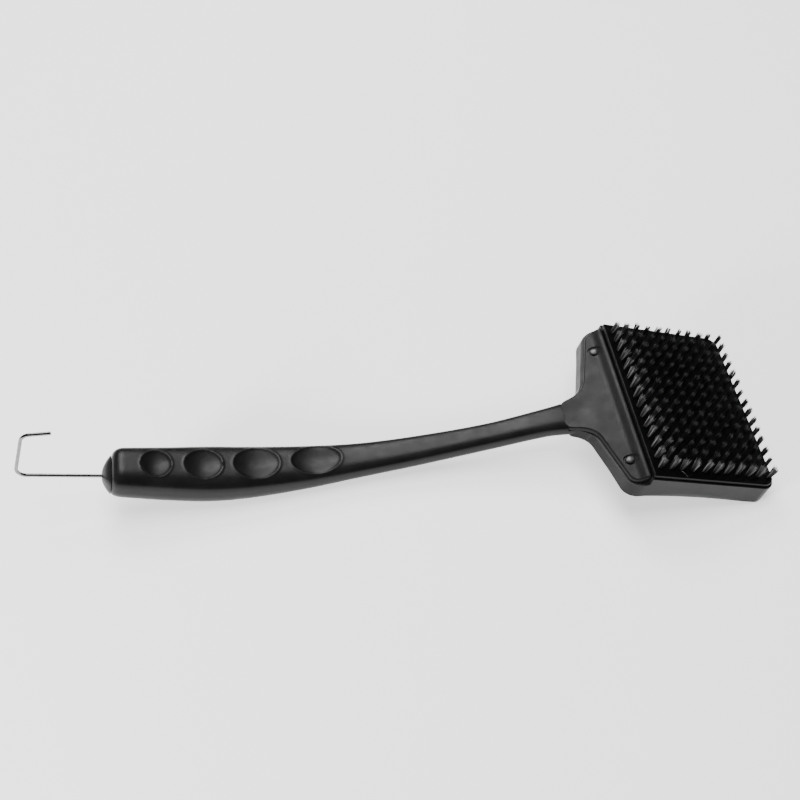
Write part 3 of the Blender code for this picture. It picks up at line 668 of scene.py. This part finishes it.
def filament(vertices, faces, paling_and_painted_light, spine, radii, lightening, sides=4):
    """Add a thin tapered tube along a spine, closed by its own tip; after the radii comes how pale each of
    its rings is, from paler tips and from painted light.
    """
    first = len(vertices)
    paling_and_painted_light += [share for share in lightening[:-1] for _ in range(sides)] + [lightening[-1]]
    turn = random.uniform(0.0, math.pi)
    for middle, radius in zip(spine[:-1], radii):
        for side in range(sides):
            angle = turn + 2.0 * math.pi * side / sides
            x = middle.x + math.cos(angle) * radius
            y = middle.y + math.sin(angle) * radius
            vertices.append((x, y, middle.z))
    vertices.append(tuple(spine[-1]))
    rings = len(spine) - 1
    for ring in range(rings - 1):
        for side in range(sides):
            a = first + ring * sides + side
            b = first + ring * sides + (side + 1) % sides
            faces.append((a, b, b + sides, a + sides))
    last = first + (rings - 1) * sides
    tip = first + rings * sides
    for side in range(sides):
        faces.append((last + side, last + (side + 1) % sides, tip))


def add_tuft(vertices, faces, paling_and_painted_light, u, v):
    """A bundle of filaments that leaves its hole tight and fans out, in strands, towards its tips."""
    is_edge = u < tuft_u(1) or v < row_v(1)
    spread = TUFT_SPREAD * (random.uniform(0.75, 1.0) if is_edge else random.uniform(0.45, 0.85))
    lean = Vector((random.uniform(-TUFT_LEAN, TUFT_LEAN), random.uniform(-TUFT_LEAN, TUFT_LEAN), 0.0))
    top = TUFT_HEIGHT * random.uniform(0.94, 1.0)
    golden = math.pi * (3.0 - math.sqrt(5.0))
    phase = random.uniform(0.0, 2.0 * math.pi)
    for index in range(FILAMENTS):
        share = math.sqrt((index + 0.5) / FILAMENTS)
        angle = index * golden + random.uniform(-0.2, 0.2)
        strand = 0.5 + 0.5 * math.sin(STRANDS * angle + phase)
        angle += STRAND_PULL * math.cos(STRANDS * angle + phase)
        way = Vector((math.cos(angle), math.sin(angle), 0.0))
        root = Vector((u, v, -TUFT_ROOT_DEPTH)) + way * (share * TUFT_RADIUS)
        fan = way * (share * (spread - TUFT_RADIUS) + random.uniform(-0.25, 0.25)) + lean
        height = top * (1.0 - 0.03 * share ** 2) - 1.5 * random.random() ** 2
        spine = []
        for level in FILAMENT_LEVELS:
            point = root + fan * level ** 1.1 + Vector((0.0, 0.0, (height + TUFT_ROOT_DEPTH) * level))
            point.x = min(point.x, TUFT_LIMIT_U - FILAMENT_RADIUS)
            spine.append(point)
        radii = [FILAMENT_RADIUS * width for width in FILAMENT_TAPER]
        # The tufts on the neck side and the near side are paled all along by painted light, where a low lamp
        # falls on them; every tip is paler.
        base = EDGE_TUFT_PAINTED_LIGHT * strand ** 1.5 if is_edge else 0.0
        lightening = [base * level ** 0.5 + (1.0 - base) * level ** 20 for level in FILAMENT_LEVELS]
        filament(vertices, faces, paling_and_painted_light, spine, radii, lightening)


def add_strip(vertices, faces, paling_and_painted_light, v):
    """The draw strip behind the block that holds a row's folded roots."""
    half_length = tuft_u(TUFTS_PER_ROW - 1) + DRAW_STRIP[0] / 2.0
    low = -BLOCK_DEPTH + GAP
    first = len(vertices)
    for n in (low, low + DRAW_STRIP[1]):
        for u, side in ((-half_length, -1), (half_length, -1), (half_length, 1), (-half_length, 1)):
            vertices.append((u, v + side * DRAW_STRIP[0] / 2.0, n))
    paling_and_painted_light += [0.0] * 8
    for face in ((3, 2, 1, 0), (4, 5, 6, 7), (0, 1, 5, 4), (1, 2, 6, 5), (2, 3, 7, 6), (3, 0, 4, 7)):
        faces.append(tuple(first + corner for corner in face))


def add_stray(vertices, faces, paling_and_painted_light):
    """One shed filament that lies on the block's near edge."""
    start = Vector((tuft_u(2) - 1.0, row_v(0) - 1.9, 0.25))
    spine = [start + Vector((0.75 * step, -1.05 * step, 0.35 + 0.25 * math.sin(step))) for step in range(5)]
    spine[-1].z = 0.3
    filament(vertices, faces, paling_and_painted_light, spine, [0.12, 0.12, 0.12, 0.1], [1.0] * 5)


def build_bristle_row(row, material):
    """A row's tufts and draw strip in one mesh, with how pale each point is, at the tips and from painted
    light on the edge tufts, for the material to read.
    """
    vertices, faces, paling_and_painted_light = [], [], []
    for index in range(TUFTS_PER_ROW):
        add_tuft(vertices, faces, paling_and_painted_light, tuft_u(index), row_v(row))
    add_strip(vertices, faces, paling_and_painted_light, row_v(row))
    if row == 0:
        add_stray(vertices, faces, paling_and_painted_light)
    name = "bristle_row_%02d" % (row + 1)
    mesh = bpy.data.meshes.new(name + "_fine")
    mesh.from_pydata(vertices, [], faces)
    mesh.attributes.new("paling_and_painted_light", "FLOAT", "POINT").data.foreach_set("value", paling_and_painted_light)
    obj = add_object(name + "_fine", mesh)
    settle(obj, material, "brush", name, 60.0)
    obj.modifiers.clear()
    return obj


# ------------------------------------------------------------------------------------------------ front plate

def smooth_step(low, high, value):
    share = min(max((value - low) / (high - low), 0.0), 1.0)
    return share * share * (3.0 - 2.0 * share)


def plate_top(u, v):
    """Height of the plate's face: a slope with a dished stem and a ridge beside the bristles."""
    ridge_rise = RIDGE_TOP_N - plate_face(RIDGE_U)
    ridge = ridge_rise * smooth_step(RIDGE_U - RIDGE_FOOT, RIDGE_U - RIDGE_WIDTH, u)
    past_ridge = max(u - (RIDGE_U - RIDGE_WIDTH), 0.0) * math.tan(PLATE_SLOPE)
    dish = DISH_DEPTH * smooth_step(-52.0, -66.0, u) * (1.0 - smooth_step(0.0, 14.0, abs(v)))
    return plate_face(u) + ridge - past_ridge * 0.9 - dish


def sliced(obj, axis, start, end, step):
    """Cut an object's faces along evenly spaced planes, so that they can bend."""
    bm = bmesh.new()
    bm.from_mesh(obj.data)
    normal = Vector([1.0 if index == axis else 0.0 for index in range(3)])
    for place in steps_between(start, end, step)[1:-1]:
        geometry = bm.verts[:] + bm.edges[:] + bm.faces[:]
        bmesh.ops.bisect_plane(bm, geom=geometry, plane_co=normal * place, plane_no=normal, dist=1e-5)
    bm.to_mesh(obj.data)
    bm.free()


def build_front_plate(material):
    """A flat slab with a rounded rim and counterbores, cut into small faces and bent to the plate's face."""
    plate = plan_solid("front_plate_fine", plate_corners(), -PLATE_DROP, 0.0, 20)
    round_edges(plate, PLATE_EDGE_RADIUS, 5)
    down = Vector((0.0, 0.0, -1.0))
    for sign in (-1.0, 1.0):
        middle = Vector((PLATE_U, sign * SCREW_V, 0.0))
        bore = ((-2.0, COUNTERBORE_RADIUS + 0.3), (0.0, COUNTERBORE_RADIUS + 0.25),
                (0.3, COUNTERBORE_RADIUS), (COUNTERBORE_DEPTH, COUNTERBORE_RADIUS - 0.1))
        combine(plate, turned("counterbore", middle, down, bore), "DIFFERENCE")
        combine(plate, cylinder("plate_hole", SCREW_RADIUS + GAP, middle - down, down, 12.0), "DIFFERENCE")
    sliced(plate, 0, STEM_U, RIDGE_U, 0.9)
    sliced(plate, 1, -PLATE_HALF_WIDTH, PLATE_HALF_WIDTH, 1.8)
    for vertex in plate.data.vertices:
        u, v, height = vertex.co
        low = plate_face(u)
        is_top = height > -PLATE_DROP / 2.0
        vertex.co.z = (plate_top(u, v) if is_top else low) + height
    return settle(plate, material, "brush", "front_plate", 40.0)


def build_screw(label, point, inwards, material):
    """A low domed screw head with a softly rounded rim, on its shank."""
    top = SCREW_HEAD_HEIGHT - COUNTERBORE_DEPTH + 0.25
    dome = 0.85
    profile = [(-top, 0.01)]
    for step in range(1, 13):
        angle = math.pi / 2.0 * step / 12.0
        profile.append((-top + dome * (1.0 - math.cos(angle)), SCREW_HEAD_RADIUS * math.sin(angle)))
    seat = COUNTERBORE_DEPTH - 0.02
    profile += [(seat, SCREW_HEAD_RADIUS - 0.05), (seat, SCREW_RADIUS), (SCREW_LENGTH - 1.2, SCREW_RADIUS),
                (SCREW_LENGTH, 0.01)]
    screw = turned("plate_screw_%s_fine" % label, point, inwards, profile)
    return settle(screw, material, "brush", "plate_screw_" + label, 35.0)


# --------------------------------------------------------------------------------------------- cap and hook

def build_end_cap(material):
    """A domed nose over a hollow plug, with a bore for the wire."""
    seam = 1.0 - END_SHRINK * end_rounding(1.0)
    rings = [axis_ring(GAP, seam - 0.02)]
    for step in range(1, 25):
        share = (step / 24.0) ** 1.1
        dome = (1.0 - share ** 1.3) ** 0.75
        rings.append(axis_ring(GAP + share * CAP_LENGTH, CAP_NOSE_SCALE + (seam - CAP_NOSE_SCALE) * dome))
    cap = loft("end_cap_fine", rings)
    plug = loft("cap_plug", [axis_ring(distance, MOUTH_SCALE, GAP / MOUTH_SCALE)
                             for distance in (-PLUG_LENGTH, 1.5)])
    combine(cap, plug, "UNION")
    hollow_inset = (GAP + PLUG_WALL) / MOUTH_SCALE
    hollow = loft("cap_hollow", [axis_ring(distance, MOUTH_SCALE, hollow_inset)
                                 for distance in (-PLUG_LENGTH - 1.0, CAP_LENGTH - NOSE_THICKNESS)])
    combine(cap, hollow, "DIFFERENCE")
    outside = NOSE + GRIP_AXIS * 2.0
    bore = cylinder("wire_bore", WIRE_RADIUS + GAP, outside, -GRIP_AXIS, NOSE_THICKNESS + 8.0)
    combine(cap, bore, "DIFFERENCE")
    return settle(cap, material, "brush", "end_cap")


def tube(name, path, radius, sides=20):
    """A wire along a path that stays in the hook's plane, with softly rounded ends."""
    across = Vector((0.0, 1.0, 0.0))
    rings = []
    for index, point in enumerate(path):
        ahead = path[min(index + 1, len(path) - 1)] - path[max(index - 1, 0)]
        side = ahead.normalized().cross(across)
        is_end = index in (0, len(path) - 1)
        size = radius * (WIRE_END_SCALE if is_end else 1.0)
        rings.append([point + (across * math.cos(angle) + side * math.sin(angle)) * size
                      for angle in (2.0 * math.pi * step / sides for step in range(sides))])
    return loft(name, rings)


def build_hook(material):
    """One wire: out along the grip's axis, up, and back over the grip."""
    top_x = SHANK_LENGTH - UPRIGHT_LENGTH * math.sin(UPRIGHT_LEAN)
    top_y = UPRIGHT_LENGTH * math.cos(UPRIGHT_LEAN)
    tip_x = top_x - HOOK_TIP_LENGTH * math.cos(HOOK_TIP_LEAN)
    tip_y = top_y + HOOK_TIP_LENGTH * math.sin(HOOK_TIP_LEAN)
    path = rounded(((-WIRE_INSIDE, 0.0, 0.0), (SHANK_LENGTH, 0.0, HOOK_BEND), (top_x, top_y, HOOK_BEND),
                    (tip_x, tip_y, 0.0)), 18, closed=False)
    soft_start = path[0] + Vector((WIRE_END_LENGTH, 0.0))
    soft_end = path[-1] + Vector((math.cos(HOOK_TIP_LEAN), -math.sin(HOOK_TIP_LEAN))) * WIRE_END_LENGTH
    path = [path[0], soft_start] + path[1:-1] + [soft_end, path[-1]]
    places = [NOSE + GRIP_AXIS * point.x + GRIP_NORMAL * point.y for point in path]
    hook = tube("hanging_hook_fine", places, WIRE_RADIUS)
    return settle(hook, material, "hook", "hanging_hook", 50.0)


def build_retaining_ring(material):
    """The ring on the wire behind the cap's nose."""
    start = NOSE - GRIP_AXIS * (NOSE_THICKNESS + 2.0 * GAP)
    ring = turned("hook_retaining_ring_fine", start, -GRIP_AXIS,
                  ((0.0, RING_RADIUS - 0.2), (0.2, RING_RADIUS), (RING_THICKNESS - 0.2, RING_RADIUS),
                   (RING_THICKNESS, RING_RADIUS - 0.2)))
    hole = cylinder("ring_hole", WIRE_RADIUS + GAP / 2.0, start + GRIP_AXIS, -GRIP_AXIS, RING_THICKNESS + 2.0)
    combine(ring, hole, "DIFFERENCE")
    return settle(ring, material, "hook", "hook_retaining_ring")


# ------------------------------------------------------------------------------------------------ materials

def new_material(name):
    material = bpy.data.materials.new(name)
    material.use_nodes = True
    nodes = material.node_tree.nodes
    return material, nodes, material.node_tree.links, nodes["Principled BSDF"]


def noise(nodes, links, coordinates, scale, detail=4.0, roughness=0.55):
    texture = nodes.new("ShaderNodeTexNoise")
    texture.inputs["Scale"].default_value = scale
    texture.inputs["Detail"].default_value = detail
    texture.inputs["Roughness"].default_value = roughness
    links.new(coordinates, texture.inputs["Vector"])
    return texture.outputs["Fac"]


def mapped(nodes, links, value, low, high, new_low, new_high):
    ranged = nodes.new("ShaderNodeMapRange")
    ranged.inputs["From Min"].default_value = low
    ranged.inputs["From Max"].default_value = high
    ranged.inputs["To Min"].default_value = new_low
    ranged.inputs["To Max"].default_value = new_high
    links.new(value, ranged.inputs["Value"])
    return ranged.outputs["Result"]


def blended(nodes, links, factor, first, second):
    """Mix two colours, each given as a tuple or as another node's output."""
    mix = nodes.new("ShaderNodeMix")
    mix.data_type = "RGBA"
    links.new(factor, mix.inputs["Factor"])
    for socket, colour in ((mix.inputs[6], first), (mix.inputs[7], second)):
        if isinstance(colour, tuple):
            socket.default_value = (*colour, 1.0)
        else:
            links.new(colour, socket)
    return mix.outputs[2]


def bump(nodes, links, height, strength, distance, normal=None):
    node = nodes.new("ShaderNodeBump")
    node.inputs["Strength"].default_value = strength
    node.inputs["Distance"].default_value = distance
    links.new(height, node.inputs["Height"])
    if normal:
        links.new(normal, node.inputs["Normal"])
    return node.outputs["Normal"]


def moulded_plastic(name, dark, light, lightening, roughness):
    """Moulded plastic with a fine eroded grain, faint flow mottling and a painted highlight on its edges."""
    material, nodes, links, shader = new_material(name)
    place = nodes.new("ShaderNodeTexCoord").outputs["Object"]
    mottle = noise(nodes, links, place, 55.0, 5.0, 0.6)
    speckle = noise(nodes, links, place, 2600.0, 2.0)
    colour = blended(nodes, links, mapped(nodes, links, mottle, 0.35, 0.65, 0.0, 1.0), dark, light)
    paler = tuple(channel * 1.35 for channel in light)
    colour = blended(nodes, links, mapped(nodes, links, speckle, 0.55, 0.8, 0.0, 0.6), colour, paler)
    # Convex edges, found by pointiness, turn towards the last colour given: a painted highlight on the rims.
    edge = nodes.new("ShaderNodeNewGeometry").outputs["Pointiness"]
    painted_rim_highlight = mapped(nodes, links, edge, 0.53, 0.62, 0.0, 0.7)
    colour = blended(nodes, links, painted_rim_highlight, colour, lightening)
    links.new(colour, shader.inputs["Base Color"])
    smear = noise(nodes, links, place, 140.0, 4.0)
    links.new(mapped(nodes, links, smear, 0.3, 0.7, roughness - 0.05, roughness + 0.07),
              shader.inputs["Roughness"])
    shader.inputs["Specular IOR Level"].default_value = 0.2
    grain = noise(nodes, links, place, 1900.0, 3.0, 0.6)
    waves = noise(nodes, links, place, 180.0, 2.0)
    wavy = bump(nodes, links, waves, 0.1, 0.0001)
    links.new(bump(nodes, links, grain, 0.3, 0.00008, wavy), shader.inputs["Normal"])
    return material


def nylon_bristles():
    """Dark nylon filaments: each a little different, streaked along its length, paler at its tip, and paled
    all along by painted light on the near-side and neck-side tufts.
    """
    material, nodes, links, shader = new_material("bristle_nylon_fine")
    geometry = nodes.new("ShaderNodeNewGeometry")
    place = nodes.new("ShaderNodeTexCoord").outputs["Object"]
    each = geometry.outputs["Random Per Island"]
    colour = blended(nodes, links, each, (0.002, 0.002, 0.0023), (0.012, 0.012, 0.0123))
    # The pale colour of the tips, and of the painted light on the near-side and neck-side tufts.
    pale_and_painted_lit_colour = blended(nodes, links, each, (0.03, 0.03, 0.03), (0.3, 0.3, 0.295))
    paling_and_painted_light = nodes.new("ShaderNodeAttribute")
    paling_and_painted_light.attribute_name = "paling_and_painted_light"
    colour = blended(nodes, links, paling_and_painted_light.outputs["Fac"], colour, pale_and_painted_lit_colour)
    streak = noise(nodes, links, place, 900.0, 3.0)
    streaks = mapped(nodes, links, streak, 0.5, 0.75, 0.0, 0.35)
    colour = blended(nodes, links, streaks, colour, (0.05, 0.05, 0.05))
    links.new(colour, shader.inputs["Base Color"])
    links.new(mapped(nodes, links, streak, 0.3, 0.7, 0.28, 0.42), shader.inputs["Roughness"])
    shader.inputs["Specular IOR Level"].default_value = 0.3
    shader.inputs["Sheen Weight"].default_value = 0.04
    ridges = noise(nodes, links, place, 3000.0, 2.0)
    links.new(bump(nodes, links, ridges, 0.2, 0.00005), shader.inputs["Normal"])
    return material


def steel(name, colour, roughness, scale):
    """Drawn or turned steel: fine lines of uneven polish with faint handling marks."""
    material, nodes, links, shader = new_material(name)
    place = nodes.new("ShaderNodeTexCoord").outputs["Object"]
    stretch = nodes.new("ShaderNodeMapping")
    stretch.inputs["Scale"].default_value = scale
    links.new(place, stretch.inputs["Vector"])
    lines = noise(nodes, links, stretch.outputs["Vector"], 900.0, 4.0)
    marks = noise(nodes, links, place, 320.0, 5.0, 0.65)
    dull = tuple(channel * 0.62 for channel in colour)
    links.new(blended(nodes, links, mapped(nodes, links, marks, 0.45, 0.75, 0.0, 1.0), colour, dull),
              shader.inputs["Base Color"])
    polish = mapped(nodes, links, lines, 0.3, 0.7, roughness * 0.7, roughness * 1.5)
    links.new(polish, shader.inputs["Roughness"])
    shader.inputs["Metallic"].default_value = 1.0
    links.new(bump(nodes, links, lines, 0.05, 0.00002), shader.inputs["Normal"])
    return material


def floor_material():
    """A matt white table, lit from behind, very slightly cloudy."""
    material, nodes, links, shader = new_material("pale_floor")
    place = nodes.new("ShaderNodeTexCoord").outputs["Object"]
    cloud = noise(nodes, links, place, 3.0, 3.0)
    links.new(blended(nodes, links, cloud, (0.86, 0.86, 0.86), (0.9, 0.9, 0.9)), shader.inputs["Base Color"])
    shader.inputs["Roughness"].default_value = 0.9
    shader.inputs["Specular IOR Level"].default_value = 0.1
    shader.inputs["Emission Color"].default_value = (1.0, 1.0, 1.0, 1.0)
    shader.inputs["Emission Strength"].default_value = FLOOR_GLOW
    return material


# ----------------------------------------------------------------------------------------- floor and lights

def build_floor():
    bm = bmesh.new()
    bmesh.ops.create_grid(bm, x_segments=8, y_segments=8, size=FLOOR_HALF_SIZE)
    floor = mesh_object("floor", bm)
    floor.location.z = CAD_BOX[0][2]
    floor.data.materials.append(floor_material())


def add_light(name, place, target, size, watts, is_mirrored):
    """A rectangular lamp; one that isn't mirrored brightens the scene but doesn't show in glossy surfaces."""
    data = bpy.data.lights.new(name, "AREA")
    data.shape = "RECTANGLE"
    data.size, data.size_y = size
    data.energy = watts
    light = bpy.data.objects.new(name, data)
    light.location = place
    light.rotation_euler = (Vector(target) - Vector(place)).to_track_quat("-Z", "Y").to_euler()
    light.visible_glossy = is_mirrored
    bpy.context.scene.collection.objects.link(light)


def build_lights():
    world = bpy.data.worlds.new("studio")
    world.use_nodes = True
    background = world.node_tree.nodes["Background"]
    background.inputs["Color"].default_value = (1.0, 1.0, 1.0, 1.0)
    background.inputs["Strength"].default_value = 0.03
    bpy.context.scene.world = world
    add_light("far_softbox", (-0.14, 0.9, 1.05), (-0.02, 0.0, 0.0), (0.7, 0.55), 13.0, True)
    add_light("overhead_wash", (0.0, 0.1, 2.2), (0.0, 0.05, 0.0), (1.6, 1.6), 55.0, False)
    add_light("left_low", (-1.0, -0.55, 0.32), (0.17, 0.0, 0.04), (0.3, 0.2), 22.0, False)


def build():
    random.seed(7)
    build_camera()
    # The last colour given to each plastic is the painted highlight on its edges.
    grey = moulded_plastic("grey_plastic_fine", (0.0045, 0.0044, 0.0046), (0.0075, 0.0074, 0.0076),
                           (0.018, 0.018, 0.0185), 0.33)
    plate_grey = moulded_plastic("plate_plastic_fine", (0.0042, 0.0041, 0.0043), (0.007, 0.0069, 0.0071),
                                 (0.018, 0.018, 0.0185), 0.38)
    black = moulded_plastic("black_plastic_fine", (0.0015, 0.0015, 0.0017), (0.003, 0.003, 0.0033),
                            (0.008, 0.008, 0.0085), 0.34)
    nylon = nylon_bristles()
    screw_steel = steel("screw_steel_fine", (0.12, 0.12, 0.122), 0.42, (1.0, 1.0, 1.0))
    hook_steel = steel("hook_steel_fine", (0.24, 0.24, 0.245), 0.22, (0.05, 1.0, 1.0))
    build_handle_frame(grey)
    build_front_plate(plate_grey)
    build_brush_block(black)
    for row in range(ROWS):
        build_bristle_row(row, nylon)
    for label, point, inwards in screw_points():
        build_screw(label, point, inwards, screw_steel)
    build_end_cap(grey)
    build_hook(hook_steel)
    build_retaining_ring(hook_steel)
    build_floor()
    build_lights()


build()
